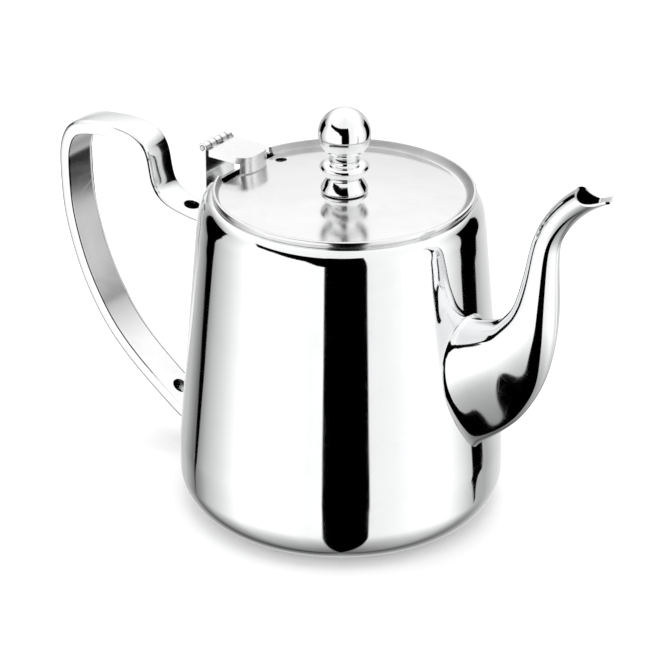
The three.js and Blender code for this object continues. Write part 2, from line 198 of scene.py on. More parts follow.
def join(name, pieces):
    """Makes one object of several."""
    shaped = bmesh.new()
    for piece in pieces:
        shaped.from_mesh(piece.data)
        bpy.data.objects.remove(piece)
    mesh = bpy.data.meshes.new(name)
    shaped.to_mesh(mesh)
    shaped.free()
    joined = bpy.data.objects.new(name, mesh)
    bpy.context.scene.collection.objects.link(joined)
    return joined


def soften(piece, radius, angle=38, segments=3, weighted=True):
    """Breaks a piece's sharp edges, then shades it smooth."""
    if radius:
        bevel = piece.modifiers.new("broken edges", "BEVEL")
        bevel.width = radius * MM
        bevel.segments = segments
        bevel.limit_method = "ANGLE"
        bevel.angle_limit = math.radians(angle)
        bevel.use_clamp_overlap = True
        bake(piece)
    piece.data.polygons.foreach_set("use_smooth", [True] * len(piece.data.polygons))
    piece.data.set_sharp_from_angle(angle=math.radians(angle))
    if weighted:
        even = piece.modifiers.new("even shading", "WEIGHTED_NORMAL")
        even.keep_sharp = True
    return piece


def group_node(tree, group, **inputs):
    node = tree.nodes.new("ShaderNodeGroup")
    node.node_tree = group
    for key, value in inputs.items():
        socket = node.inputs[key.replace("_", " ")]
        if isinstance(value, bpy.types.NodeSocket):
            tree.links.new(value, socket)
        else:
            socket.default_value = value
    return node


def new_group(name, inputs, outputs):
    """An empty shader node group with named sockets. Returns it with its input and output nodes."""
    group = bpy.data.node_groups.new(name, "ShaderNodeTree")
    for label, kind, value in inputs:
        socket = group.interface.new_socket(name=label, in_out="INPUT", socket_type=kind)
        if value is not None:
            socket.default_value = value
    for label, kind in outputs:
        group.interface.new_socket(name=label, in_out="OUTPUT", socket_type=kind)
    return group, group.nodes.new("NodeGroupInput"), group.nodes.new("NodeGroupOutput")


def wire(tree, kind, inputs=(), **settings):
    """Adds a node, sets its options, and fills its inputs by number with values or sockets."""
    node = tree.nodes.new(kind)
    for key, value in settings.items():
        setattr(node, key, value)
    for index, value in dict(inputs).items():
        if isinstance(value, bpy.types.NodeSocket):
            tree.links.new(value, node.inputs[index])
        else:
            node.inputs[index].default_value = value
    return node


def arithmetic(tree, operation, a, b=None, c=None):
    inputs = {i: v for i, v in enumerate((a, b, c)) if v is not None}
    return wire(tree, "ShaderNodeMath", inputs, operation=operation).outputs[0]


# Buffing lines: the wheel leaves very fine parallel lines, and a slower waviness under them.
# "Run" stretches the pattern: small along the lines, large across them.
buffing_lines, given, out = new_group(
    "buffing lines",
    [
        ("Place", "NodeSocketVector", None),
        ("Run", "NodeSocketVector", (400.0, 400.0, 9000.0)),
        ("Line Depth", "NodeSocketFloat", 0.02),
        ("Waviness", "NodeSocketFloat", 0.5),
    ],
    [("Height", "NodeSocketFloat"), ("Streaks", "NodeSocketFloat")],
)
stretched = wire(
    buffing_lines,
    "ShaderNodeVectorMath",
    {0: given.outputs["Place"], 1: given.outputs["Run"]},
    operation="MULTIPLY",
)
lines = wire(buffing_lines, "ShaderNodeTexNoise", {0: stretched.outputs[0], 2: 1.0, 3: 3.0, 4: 0.62})
swell = wire(buffing_lines, "ShaderNodeTexNoise", {0: given.outputs["Place"], 2: 42.0, 3: 1.0})
line_height = arithmetic(buffing_lines, "MULTIPLY", lines.outputs[0], given.outputs["Line Depth"])
swell_height = arithmetic(buffing_lines, "MULTIPLY", swell.outputs[0], given.outputs["Waviness"])
height = arithmetic(buffing_lines, "ADD", line_height, swell_height)
buffing_lines.links.new(height, out.inputs["Height"])
buffing_lines.links.new(lines.outputs[0], out.inputs["Streaks"])

# Hairline scratches from washing and stacking: long thin cells, in two crossing directions.
hairlines, given, out = new_group(
    "hairline scratches",
    [("Place", "NodeSocketVector", None), ("Spacing", "NodeSocketFloat", 260.0)],
    [("Mask", "NodeSocketFloat")],
)
masks = []
for turn, squeeze in ((0.5, 0.07), (-0.9, 0.11)):
    turned_place = wire(
        hairlines,
        "ShaderNodeMapping",
        {0: given.outputs["Place"], 2: (turn, turn * 0.7, turn * 1.3), 3: (1.0, squeeze, 0.6)},
    )
    cells = wire(
        hairlines,
        "ShaderNodeTexVoronoi",
        {"Vector": turned_place.outputs[0], "Scale": given.outputs["Spacing"]},
        feature="DISTANCE_TO_EDGE",
    )
    thin = wire(
        hairlines,
        "ShaderNodeMapRange",
        {0: cells.outputs["Distance"], 1: 0.0, 2: 0.02, 3: 1.0, 4: 0.0},
    )
    patches = wire(
        hairlines, "ShaderNodeTexNoise", {0: turned_place.outputs[0], 2: 90.0, 3: 2.0}
    )
    some = wire(hairlines, "ShaderNodeMapRange", {0: patches.outputs[0], 1: 0.5, 2: 0.62})
    masks.append(arithmetic(hairlines, "MULTIPLY", thin.outputs[0], some.outputs[0]))
hairlines.links.new(arithmetic(hairlines, "MAXIMUM", masks[0], masks[1]), out.inputs["Mask"])

# Handling marks: faint cloudy smears left by a cloth and fingers, with a few dried water spots.
handling_marks, given, out = new_group(
    "handling marks",
    [("Place", "NodeSocketVector", None), ("Smear Size", "NodeSocketFloat", 55.0)],
    [("Smears", "NodeSocketFloat"), ("Spots", "NodeSocketFloat")],
)
clouds = wire(
    handling_marks,
    "ShaderNodeTexNoise",
    {0: given.outputs["Place"], 2: given.outputs["Smear Size"], 3: 5.0, 4: 0.6, 8: 0.8},
)
smears = wire(handling_marks, "ShaderNodeMapRange", {0: clouds.outputs[0], 1: 0.42, 2: 0.72})
dots = wire(
    handling_marks,
    "ShaderNodeTexVoronoi",
    {"Vector": given.outputs["Place"], "Scale": 130.0, "Randomness": 1.0},
)
round_dots = wire(
    handling_marks,
    "ShaderNodeMapRange",
    {0: dots.outputs["Distance"], 1: 0.06, 2: 0.1, 3: 1.0, 4: 0.0},
)
spots = arithmetic(handling_marks, "MULTIPLY", round_dots.outputs[0], smears.outputs[0])
handling_marks.links.new(smears.outputs[0], out.inputs["Smears"])
handling_marks.links.new(spots, out.inputs["Spots"])

# Worn edges: corners that hands and cloths reach are a little brighter.
worn_edges, given, out = new_group(
    "worn edges",
    [("Start", "NodeSocketFloat", 0.52), ("End", "NodeSocketFloat", 0.62)],
    [("Mask", "NodeSocketFloat")],
)
shape = worn_edges.nodes.new("ShaderNodeNewGeometry")
edges = wire(
    worn_edges,
    "ShaderNodeMapRange",
    {0: shape.outputs["Pointiness"], 1: given.outputs["Start"], 2: given.outputs["End"]},
)
worn_edges.links.new(edges.outputs[0], out.inputs["Mask"])


def steel_finish(
    name, colour, shade, roughness, run, line_depth, waviness, spread, ring_centre=None
):
    """Stainless steel. "run" and "line_depth" set the polishing lines, which run in rings about
    ring_centre where that is given. "spread" is how far marks and lines raise the roughness."""
    material = bpy.data.materials.new(name)
    material.use_nodes = True
    tree = material.node_tree
    metal = tree.nodes["Principled BSDF"]
    metal.inputs["Metallic"].default_value = 1.0
    metal.inputs["IOR"].default_value = 2.5
    place = wire(tree, "ShaderNodeTexCoord").outputs["Object"]
    line_place = place
    if ring_centre is not None:
        centred = wire(
            tree, "ShaderNodeVectorMath", {0: place, 1: (-ring_centre * MM, 0, 0)}, operation="ADD"
        )
        parts = wire(tree, "ShaderNodeSeparateXYZ", {0: centred.outputs[0]}).outputs
        across = arithmetic(
            tree,
            "SQRT",
            arithmetic(tree, "ADD", arithmetic(tree, "POWER", parts[0], 2.0),
                       arithmetic(tree, "POWER", parts[1], 2.0)),
        )
        around = arithmetic(tree, "MULTIPLY", arithmetic(tree, "ARCTAN2", parts[1], parts[0]), 0.05)
        line_place = wire(
            tree, "ShaderNodeCombineXYZ", {0: around, 1: across, 2: parts[2]}
        ).outputs[0]
    buffed = group_node(
        tree, buffing_lines, Place=line_place, Run=run, Line_Depth=line_depth, Waviness=0.0
    )
    swelling = group_node(
        tree, buffing_lines, Place=place, Run=(1.0, 1.0, 1.0), Line_Depth=0.0, Waviness=waviness
    )
    scratched = group_node(tree, hairlines, Place=place, Spacing=150.0)
    marked = group_node(tree, handling_marks, Place=place, Smear_Size=48.0)
    worn = group_node(tree, worn_edges)

    tint = wire(
        tree,
        "ShaderNodeMix",
        {0: marked.outputs["Smears"], 6: (*colour, 1.0), 7: (*shade, 1.0)},
        data_type="RGBA",
    )
    bright = wire(
        tree,
        "ShaderNodeMix",
        {
            0: arithmetic(tree, "MULTIPLY", worn.outputs[0], 0.35),
            6: tint.outputs[2],
            7: (0.96, 0.96, 0.955, 1.0),
        },
        data_type="RGBA",
    )
    tree.links.new(bright.outputs[2], metal.inputs["Base Color"])

    rough = arithmetic(tree, "MULTIPLY_ADD", marked.outputs["Smears"], spread, roughness)
    rough = arithmetic(tree, "MULTIPLY_ADD", marked.outputs["Spots"], spread * 1.5, rough)
    rough = arithmetic(tree, "MULTIPLY_ADD", scratched.outputs[0], spread * 2, rough)
    rough = arithmetic(tree, "MULTIPLY_ADD", buffed.outputs["Streaks"], spread * 0.8, rough)
    tree.links.new(rough, metal.inputs["Roughness"])

    relief = arithmetic(tree, "ADD", buffed.outputs["Height"], swelling.outputs["Height"])
    relief = arithmetic(tree, "MULTIPLY_ADD", scratched.outputs[0], -line_depth * 1.5, relief)
    bump = wire(tree, "ShaderNodeBump", {0: 1.0, 1: 1e-4}, invert=False)
    tree.links.new(relief, bump.inputs["Height"])
    tree.links.new(bump.outputs[0], metal.inputs["Normal"])
    return material


def fit(piece, material, body, slot, *nodes):
    """Gives a piece its finish, and puts it on the pot or the lid in place of its plain solid."""
    piece.data.materials.clear()
    piece.data.materials.append(material)
    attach(piece, body)
    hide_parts(*nodes)
    return piece


mirror_steel = steel_finish(
    "mirror polished steel",
    colour=(0.90, 0.905, 0.91),
    shade=(0.875, 0.88, 0.885),
    roughness=0.035,
    run=(300.0, 4200.0, 4200.0),
    line_depth=0.002,
    waviness=0.35,
    spread=0.02,
    ring_centre=0.0,
)

pot_outside = body_outside()
pot_line = sheet_profile(pot_outside, SHEET)
inner_start = len(pot_outside)
rim_edge = [(MOUTH_RADIUS, RIM_HEIGHT - 0.15), (MOUTH_RADIUS, RIM_HEIGHT - SHEET + 0.15)]
pot_body = turned("pot_body", pot_line[:inner_start] + rim_edge + pot_line[inner_start:])

STRAINER_RADIUS = 1.6
STRAINER_PITCH = 6.2
STRAINER_MIDDLE = 61.0
strainer_cutters = []
for row in range(-3, 4):
    height = STRAINER_MIDDLE + row * STRAINER_PITCH * 0.87
    reach = 9.5 - abs(row) * 1.5
    for i in range(-2, 3):
        sideways = i * STRAINER_PITCH + (0 if row % 2 == 0 else STRAINER_PITCH / 2)
        if abs(sideways) < reach:
            cutter = rod((54, sideways, height), (1, 0, 0), STRAINER_RADIUS, 14, 20)
            strainer_cutters.append(cutter)
notch = block(-62, NOTCH_X, -NOTCH_HALF, NOTCH_HALF, NOTCH_FLOOR, RIM_HEIGHT + 3)
carve(pot_body, notch, join("scrap", strainer_cutters))
soften(pot_body, 0.18, angle=40, segments=2, weighted=False)
fit(pot_body, mirror_steel, "pot", "mirror_polished_steel", "body_shell")

# ---------------------------------------------------------------------------------------------
# Base disc. A flat stainless disc let into the turned-in foot and welded round its edge. Its
# underside keeps the rings of the lathe, and a shallow step stiffens it.

_, base_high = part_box("base_pan")
BASE_RADIUS = base_high.x / MM
turned_steel = steel_finish(
    "ring turned steel",
    colour=(0.70, 0.705, 0.71),
    shade=(0.62, 0.625, 0.63),
    roughness=0.24,
    run=(60.0, 2600.0, 2600.0),
    line_depth=0.06,
    waviness=0.1,
    spread=0.08,
    ring_centre=0.0,
)
base_profile = [
    (0, 0.25), (28, 0.25), (29.5, 0.2), (30.5, 0.03), (31.5, 0), (BASE_RADIUS - 0.25, 0),
    (BASE_RADIUS, 0.2), (BASE_RADIUS, 0.7), (BASE_RADIUS - 0.2, 0.9), (0, 0.9),
]
base_disc = turned("base_disc", base_profile, 160)
soften(base_disc, 0, angle=40, weighted=False)
fit(base_disc, turned_steel, "pot", "underside_steel", "base_pan")

# ---------------------------------------------------------------------------------------------
# Spout. Two halves pressed from sheet, welded along the middle with a dressed seam, then welded
# to the wall over the strainer. It swells from a narrow neck to a deep root with a flared edge,
# and its mouth is cut to a beak so that the last drop falls clean.

_, spout_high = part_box("spout_left_half")
SPOUT_TIP = spout_high.x / MM
# Each row: the line nearer the pot (x, z), the line further out (x, z), half width, egg shape.
SPOUT_ROWS = np.array([
    (44.0, 82.0, 44.0, 31.0, 14.6, 0.24),
    (53.0, 83.0, 55.0, 35.0, 14.4, 0.36),
    (60.0, 84.4, 63.5, 41.0, 12.8, 0.48),
    (64.8, 86.2, 72.5, 49.5, 11.0, 0.52),
    (67.6, 89.0, 79.4, 59.5, 9.5, 0.48),
    (70.1, 92.4, 84.0, 70.0, 8.6, 0.34),
    (71.9, 96.4, 86.4, 81.0, 7.9, 0.18),
    (73.3, 101.5, 87.2, 92.5, 7.1, 0.04),
    (74.8, 108.0, 86.9, 103.5, 6.1, 0.0),
    (76.1, 114.8, 86.6, 112.5, 5.3, 0.0),
    (77.8, 121.4, 87.2, 119.5, 4.8, 0.0),
    (80.6, 127.8, 89.6, 125.2, 4.6, 0.0),
    (84.6, 133.8, 93.3, 130.3, 4.6, 0.0),
    (89.4, 139.0, 98.2, 134.8, 4.8, 0.0),
    (94.6, 143.0, 103.4, 138.2, 5.0, 0.0),
    (101.0, 146.4, 109.6, 141.6, 5.2, 0.0),
])
MOUTH_CURVE = ((91.6, 146.5), (93.8, 136.8), (99.6, 136.4), (105.8, 141.0))
SEAM_HEIGHT = 0.16
SEAM_WIDTH = 0.45
FLARE = 1.1  # how far the root's edge stands out, dying away over FLARE_REACH
FLARE_REACH = 1.1


def smooth_curve(rows):
    """A curve of even curvature through rows of numbers, as a function of the row number."""
    rows = np.asarray(rows, float)
    n = len(rows)
    matrix = np.eye(n)
    right = np.zeros_like(rows)
    for i in range(1, n - 1):
        matrix[i, i - 1:i + 2] = (1, 4, 1)
        right[i] = 6 * (rows[i + 1] - 2 * rows[i] + rows[i - 1])
    bend = np.linalg.solve(matrix, right)

    def at(t):
        i = int(min(max(math.floor(t), 0), n - 2))
        u = t - i
        v = 1 - u
        return (v * rows[i] + u * rows[i + 1]
                + ((v ** 3 - v) * bend[i] + (u ** 3 - u) * bend[i + 1]) / 6)

    return at


pot_radii = np.array(pot_outside)


def outside_pot(point):
    """How far a point is outside the pot's wall, in millimetres."""
    radius = np.interp(point[2], pot_radii[:, 1], pot_radii[:, 0])
    return math.hypot(point[0], point[1]) - radius


def crossing(inside, low, high):
    """Where a test that is true at low turns false on the way to high."""
    for _ in range(36):
        middle = (low + high) / 2
        if inside(middle):
            low = middle
        else:
            high = middle
    return (low + high) / 2


def mouth_height(x):
    """Height of the mouth's cut at x."""
    p0, p1, p2, p3 = MOUTH_CURVE

    def point(t, k):
        s = 1 - t
        return s ** 3 * p0[k] + 3 * s * s * t * p1[k] + 3 * s * t * t * p2[k] + t ** 3 * p3[k]

    if x <= p0[0]:
        return p0[1]
    if x >= p3[0]:
        return p3[1]
    return point(crossing(lambda t: point(t, 0) < x, 0, 1), 1)


spout_at = smooth_curve(SPOUT_ROWS)


def spout_point(t, angle):
    ax, az, bx, bz, width, egg = spout_at(t)
    centre = Vector(((ax + bx) / 2, 0, (az + bz) / 2))
    half = Vector(((ax - bx) / 2, 0, (az - bz) / 2))
    swing = math.cos(angle)
    p = centre + half * swing
    p.y = width * math.sin(angle) * (1 + egg * swing - egg * 0.25)
    seam = SEAM_HEIGHT * math.exp(-((p.y / SEAM_WIDTH) ** 2))
    return p + half.normalized() * math.copysign(seam, swing)


SPOUT_LAST = len(SPOUT_ROWS) - 1.0
NEAR_SEAM = [0.0, 0.025, 0.05, 0.08, 0.12, 0.17, 0.23, 0.30]
half_angles = NEAR_SEAM + list(np.linspace(0.38, math.pi - 0.38, 34))
half_angles += [math.pi - a for a in reversed(NEAR_SEAM)]
root_steps = [0, 0.004, 0.009, 0.015, 0.023, 0.033, 0.045]
spout_steps = root_steps + list(np.linspace(0.06, 1, 92))


def spout_half(name, side):
    columns = []
    for angle in half_angles:
        low = crossing(lambda t: outside_pot(spout_point(t, side * angle)) < 0.05, 0.0, 8.0)

        def below_mouth(t):
            p = spout_point(t, side * angle)
            return p.z < mouth_height(p.x) and p.x < SPOUT_TIP

        high = crossing(below_mouth, 9.0, SPOUT_LAST)
        column = []
        for step in spout_steps:
            t = low + (high - low) * step
            p = spout_point(t, side * angle)
            out = p - spout_point(t, side * angle + math.pi)
            out.normalize()
            reach = max(outside_pot(p), 0)
            p = p + out * FLARE * math.exp(-reach / FLARE_REACH)
            p.y += side * 0.02
            column.append(p)
        columns.append(column)
    rows = len(spout_steps)
    points = [p for column in columns for p in column]
    faces = [
        (c * rows + r, c * rows + r + 1, (c + 1) * rows + r + 1, (c + 1) * rows + r)
        for c in range(len(columns) - 1)
        for r in range(rows - 1)
    ]
    piece = new_piece(name, points, faces)
    mesh = piece.data
    middle = mesh.polygons[len(mesh.polygons) // 2]
    if middle.normal.y * side < 0:
        mesh.flip_normals()
    thick = piece.modifiers.new("sheet", "SOLIDIFY")
    thick.thickness = SHEET * MM
    thick.offset = -1
    bake(piece)
    soften(piece, 0.0, angle=50, weighted=False)
    return piece


spout_steel = steel_finish(
    "hand polished steel",
    colour=(0.90, 0.905, 0.91),
    shade=(0.87, 0.875, 0.88),
    roughness=0.04,
    run=(500.0, 5200.0, 500.0),
    line_depth=0.003,
    waviness=0.8,
    spread=0.03,
)
for label, side in (("left", 1), ("right", -1)):
    half = spout_half(f"spout_{label}", side)
    fit(half, spout_steel, "pot", "mirror_polished_steel", f"spout_{label}_half")

# ---------------------------------------------------------------------------------------------
# Handle. A channel bent from sheet, closed on the finger side by a thinner strip let in between
# its edges, so that it stays hollow and cool. Each end has a drain hole and is welded to the wall.

HANDLE_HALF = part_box("handle_channel")[1].y / MM
HANDLE_EDGE = 1.9
HANDLE_CROWN = 0.22  # how far the middle of the outside stands above its edges
STRIP_DEPTH = 0.35  # how far the strip sits below the channel's edges
DRAIN_RADIUS = 3.0
# Middle of the handle from the upper weld round to the lower one: x, z and thickness.
HANDLE_ROWS = [
    (-46, 92.8, 4.0), (-57.6, 93.1, 4.0), (-66.2, 94.3, 4.1), (-72.9, 96.3, 4.2),
    (-77.8, 100.2, 4.2), (-80.0, 105.9, 4.2), (-81.2, 112.0, 4.3), (-83.8, 116.9, 4.4),
    (-89.0, 119.4, 4.5), (-96.0, 119.9, 4.6), (-103.2, 119.4, 4.8), (-110.0, 118.2, 5.0),
    (-114.9, 115.6, 5.2), (-117.7, 110.4, 5.2), (-118.7, 102.8, 5.1), (-118.3, 90.5, 5.1),
    (-117.0, 80.9, 5.2), (-114.5, 71.2, 5.2), (-111.0, 61.4, 5.3), (-106.4, 52.0, 5.4),
    (-100.4, 42.6, 5.4), (-92.6, 33.9, 5.4), (-83.4, 26.0, 5.4), (-73.6, 18.6, 5.4),
    (-64.0, 12.4, 5.4), (-50, 6.0, 5.4),
]
handle_at = smooth_curve(HANDLE_ROWS)
HANDLE_LAST = len(HANDLE_ROWS) - 1.0
HANDLE_STEPS = 210


def handle_point(t, across, depth_share, inset):
    """A point of the handle: across it, and from its finger side (-1) to its outside (1)."""
    x, z, depth = handle_at(t)
    dx, dz, _ = handle_at(t + 0.01) - handle_at(t - 0.01)
    out = Vector((dz, 0, -dx)).normalized()
    return Vector((x, across, z)) + out * (depth_share * depth / 2 + inset)


def handle_strip(name, section):
    """Carries a closed section of (across, depth share, inset) along the handle, wall to wall."""
    columns = []
    for across, share, inset in section:
        def in_pot(t):
            return outside_pot(handle_point(t, across, share, inset)) < 0.05
        start = crossing(in_pot, 0.2, 3.0)
        end = crossing(in_pot, HANDLE_LAST - 0.02, HANDLE_LAST - 4.0)
        steps = np.linspace(start, end, HANDLE_STEPS)
        columns.append([handle_point(t, across, share, inset) for t in steps])
    count, rows = len(columns), HANDLE_STEPS
    points = [p for column in columns for p in column]
    faces = [
        (c * rows + r, c * rows + r + 1, (c + 1) % count * rows + r + 1, (c + 1) % count * rows + r)
        for c in range(count)
        for r in range(rows - 1)
    ]
    for i in range(count // 2 - 1):  # the two ends
        j = count - 1 - i
        faces.append((i * rows, (i + 1) * rows, (j - 1) * rows, j * rows))
        e = rows - 1
        faces.append((i * rows + e, (i + 1) * rows + e, (j - 1) * rows + e, j * rows + e))
    return new_piece(name, points, faces)


def channel_section():
    """Outside of the U from one edge to the other, then back along its inside."""
    outside, inside = [], []
    flat = HANDLE_HALF - HANDLE_EDGE
    lip = 0.3
    arcs = [math.radians(a) for a in np.linspace(0, 90, 7)]
    outside += [(-HANDLE_HALF + lip, -1, 0), (-HANDLE_HALF, -1, lip)]
    inside += [(-HANDLE_HALF + SHEET - 0.1, -1, 0), (-HANDLE_HALF + SHEET, -1, lip)]
    inner_edge = HANDLE_EDGE - SHEET
    for a in arcs:
        outside.append((-flat - HANDLE_EDGE * math.cos(a), 1, -HANDLE_EDGE * (1 - math.sin(a))))
        inside.append((-flat - inner_edge * math.cos(a), 1, -SHEET - inner_edge * (1 - math.sin(a))))
    for part in (0.7, 0.4, 0.12):
        outside.append((-flat * part, 1, HANDLE_CROWN * (1 - part * part)))
        inside.append((-flat * part, 1, -SHEET))
    outside += [(-y, share, inset) for y, share, inset in reversed(outside)]
    inside += [(-y, share, inset) for y, share, inset in reversed(inside)]
    return outside + inside[::-1]


handle_steel = steel_finish(
    "linished steel",
    colour=(0.90, 0.905, 0.91),
    shade=(0.87, 0.875, 0.88),
    roughness=0.06,
    run=(260.0, 6400.0, 260.0),
    line_depth=0.004,
    waviness=0.7,
    spread=0.04,
)
strip_steel = steel_finish(
    "satin strip steel",
    colour=(0.86, 0.86, 0.86),
    shade=(0.80, 0.80, 0.80),
    roughness=0.1,
    run=(160.0, 5200.0, 160.0),
    line_depth=0.008,
    waviness=0.5,
    spread=0.05,
)
handle_channel = handle_strip("handle_channel_bent", channel_section())
upper_drain = rod((-65.1, 0, 97), (0.12, 0, 1), DRAIN_RADIUS, 4.6, 40)
carve(handle_channel, upper_drain)
soften(handle_channel, 0.0, angle=40, weighted=False)
fit(handle_channel, handle_steel, "pot", "mirror_polished_steel", "handle_channel")

strip_half = HANDLE_HALF - SHEET - 0.08
strip_section = [
    (-strip_half, -1, STRIP_DEPTH), (strip_half, -1, STRIP_DEPTH),
    (strip_half, -1, STRIP_DEPTH + SHEET), (-strip_half, -1, STRIP_DEPTH + SHEET),
]
inner_strip = handle_strip("handle_finger_strip", strip_section)
lower_drain = rod((-72.2, 0, 21.2), (0.6, 0, 0.8), DRAIN_RADIUS, 6, 40)
carve(inner_strip, lower_drain)
soften(inner_strip, 0.0, angle=40, weighted=False)
fit(inner_strip, strip_steel, "pot", "satin_steel", "handle_inner_strip")

# ---------------------------------------------------------------------------------------------
# Hinge. Two stamped leaves whose edges are curled into five knuckles round a peened pin. The
# upright leaf is welded to the wall above the handle. The lid's leaf has turned-down sides, and
# its rounded end drops to a pad spot-welded on the sunk floor of the lid.

joint = frame["joints"][0]
PIN_X, PIN_Z = joint["pos_m"][0] / MM, joint["pos_m"][2] / MM
BARREL = 1.9
BORE = 1.1
HINGE_HALF = 8.0
KNUCKLES = 5
LEAF_THICK = 1.2
KNUCKLE_GAP = 0.3
leaf_low, leaf_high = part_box("hinge_body_leaf")
lid_leaf_low, lid_leaf_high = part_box("hinge_lid_leaf")


def knuckle(index):
    """One curled knuckle: a tube on the pin's axis."""
    pitch = 2 * HINGE_HALF / KNUCKLES
    start = -HINGE_HALF + index * pitch + KNUCKLE_GAP / 2
    end = start + pitch - KNUCKLE_GAP
    turns = 40
    chamfer = 0.18
    loop = [
        (BORE, start), (BARREL - chamfer, start), (BARREL, start + chamfer),
        (BARREL, end - chamfer), (BARREL - chamfer, end), (BORE, end),
    ]
    points, faces = [], []
    for k in range(turns):
        a = 2 * math.pi * k / turns
        points += [(PIN_X + r * math.cos(a), y, PIN_Z + r * math.sin(a)) for r, y in loop]
    n = len(loop)
    for k in range(turns):
        here, there = k * n, (k + 1) % turns * n
        faces += [(here + i, here + (i + 1) % n, there + (i + 1) % n, there + i) for i in range(n)]
    return new_piece("knuckle", points, faces)


def prism(outline, z0, z1):
    """An upright solid over a flat outline of (x, y) points."""
    n = len(outline)
    points = [(x, y, z) for z in (z0, z1) for x, y in outline]
    faces = [(i, (i + 1) % n, n + (i + 1) % n, n + i) for i in range(n)]
    faces += [tuple(range(n)), tuple(range(n, 2 * n))]
    return new_piece("scrap", points, faces)


def unite(piece, *others):
    for other in others:
        weld = piece.modifiers.new("weld", "BOOLEAN")
        weld.operation = "UNION"
        weld.solver = "EXACT"
        weld.object = other
    bake(piece)
    for other in others:
        bpy.data.objects.remove(other)
    return piece


def knuckle_room(own):
    """Scrap that clears the other leaf's knuckles."""
    pitch = 2 * HINGE_HALF / KNUCKLES
    room = BARREL + 0.25
    rooms = []
    for i in range(KNUCKLES):
        if i % 2 != own:
            a = -HINGE_HALF + i * pitch - KNUCKLE_GAP / 2
            b = a + pitch + KNUCKLE_GAP
            if i == 0:
                a -= 2
            if i == KNUCKLES - 1:
                b += 2
            rooms.append(block(PIN_X - room, PIN_X + room + 0.7, a, b, PIN_Z - room, PIN_Z + room))
    return rooms


upright_x = PIN_X + BARREL - LEAF_THICK
leaf_bottom = leaf_low.z / MM
leaf_side = leaf_high.y / MM
corner = 2.2
face_line = [(-leaf_side, PIN_Z), (leaf_side, PIN_Z)]
for side, start in ((1, 0), (-1, -90)):
    for a in np.linspace(start, start - 90, 7):
        r = math.radians(a)
        face_line.append((side * (leaf_side - corner) + corner * math.cos(r),
                          leaf_bottom + corner + corner * math.sin(r)))
upright_points = [(x, y, z) for x in (upright_x, upright_x + LEAF_THICK) for y, z in face_line]
n = len(face_line)
upright_faces = [(i, (i + 1) % n, n + (i + 1) % n, n + i) for i in range(n)]
upright_faces += [tuple(range(n)), tuple(range(n, 2 * n))]
body_leaf = new_piece("hinge_upright_leaf", upright_points, upright_faces)
foot_top = leaf_bottom + 7.4
foot_grid = []
for z in np.linspace(leaf_bottom, foot_top, 7):
    for y in np.linspace(-leaf_side + 1, leaf_side - 1, 15):
        foot_grid.append((-math.sqrt((wall_radius(z) + 0.08) ** 2 - y * y), y, z))
foot_points = foot_grid + [(upright_x + 0.6, y, z) for _, y, z in foot_grid]
foot_faces = []
for r in range(6):
    for c in range(14):
        for start in (0, 105):
            i = start + r * 15 + c
            foot_faces.append((i, i + 1, i + 16, i + 15))
rim_of_grid = list(range(0, 15)) + [29, 44, 59, 74, 89, 104] + list(range(103, 89, -1))
rim_of_grid += [75, 60, 45, 30, 15]
for i, a in enumerate(rim_of_grid):
    b = rim_of_grid[(i + 1) % len(rim_of_grid)]
    foot_faces.append((a, b, b + 105, a + 105))
foot = new_piece("scrap", foot_points, foot_faces)
unite(body_leaf, foot)
carve(body_leaf, *knuckle_room(own=0), rod((PIN_X, 0, PIN_Z), (0, 1, 0), BORE, 24))
unite(body_leaf, *[knuckle(i) for i in range(0, KNUCKLES, 2)])
carve(body_leaf, rod((PIN_X, 0, PIN_Z), (0, 1, 0), BORE, 24))
soften(body_leaf, 0.22, angle=42)

hinge_steel = steel_finish(
    "stamped steel",
    colour=(0.86, 0.86, 0.86),
    shade=(0.78, 0.78, 0.78),
    roughness=0.14,
    run=(900.0, 5200.0, 900.0),
    line_depth=0.02,
    waviness=1.2,
    spread=0.1,
)
fit(body_leaf, hinge_steel, "pot", "mirror_polished_steel", "hinge_body_leaf")

LEAF_TOP = PIN_Z - 0.1
LEAF_UNDER = LEAF_TOP - LEAF_THICK
LEAF_END = lid_leaf_high.x / MM
PAD_START = -38.0
PAD_BOTTOM = lid_leaf_low.z / MM
SIDE_DEPTH = 2.4
END_CORNER = (6.2, 7.0)


def leaf_outline(inset):
    side, end = HINGE_HALF - inset, LEAF_END - inset
    lower = bezier_points(
        (end - END_CORNER[0], -side), (end, -side), (end, -side + END_CORNER[1]), 10
    )
    upper = [(x, -y) for x, y in reversed(lower)]
    return [(PIN_X, -side)] + lower + upper + [(PIN_X, side)]


lid_leaf = prism(leaf_outline(0), LEAF_TOP - SIDE_DEPTH, LEAF_TOP)
knuckle_edge = PIN_X + BARREL + 0.9
end_block = prism(leaf_outline(0), PAD_BOTTOM, LEAF_TOP - 0.2)
carve(end_block, block(PIN_X - 2, PAD_START, -20, 20, 110, 130))
unite(lid_leaf, end_block)
hollow = prism(leaf_outline(SHEET), PAD_BOTTOM + SHEET, LEAF_UNDER)
carve(lid_leaf, hollow)
carve(
    lid_leaf,
    block(PIN_X - 1, knuckle_edge, -20, 20, 110, LEAF_UNDER),
    rod((PIN_X, 0, PIN_Z), (0, 1, 0), BORE, 24),
    *knuckle_room(own=1),
)
unite(lid_leaf, *[knuckle(i) for i in range(1, KNUCKLES, 2)])
carve(lid_leaf, rod((PIN_X, 0, PIN_Z), (0, 1, 0), BORE, 24))
soften(lid_leaf, 0.3, angle=42)
leaf_steel = steel_finish(
    "tumbled steel",
    colour=(0.90, 0.90, 0.90),
    shade=(0.84, 0.84, 0.84),
    roughness=0.2,
    run=(700.0, 4600.0, 700.0),
    line_depth=0.02,
    waviness=1.0,
    spread=0.12,
)
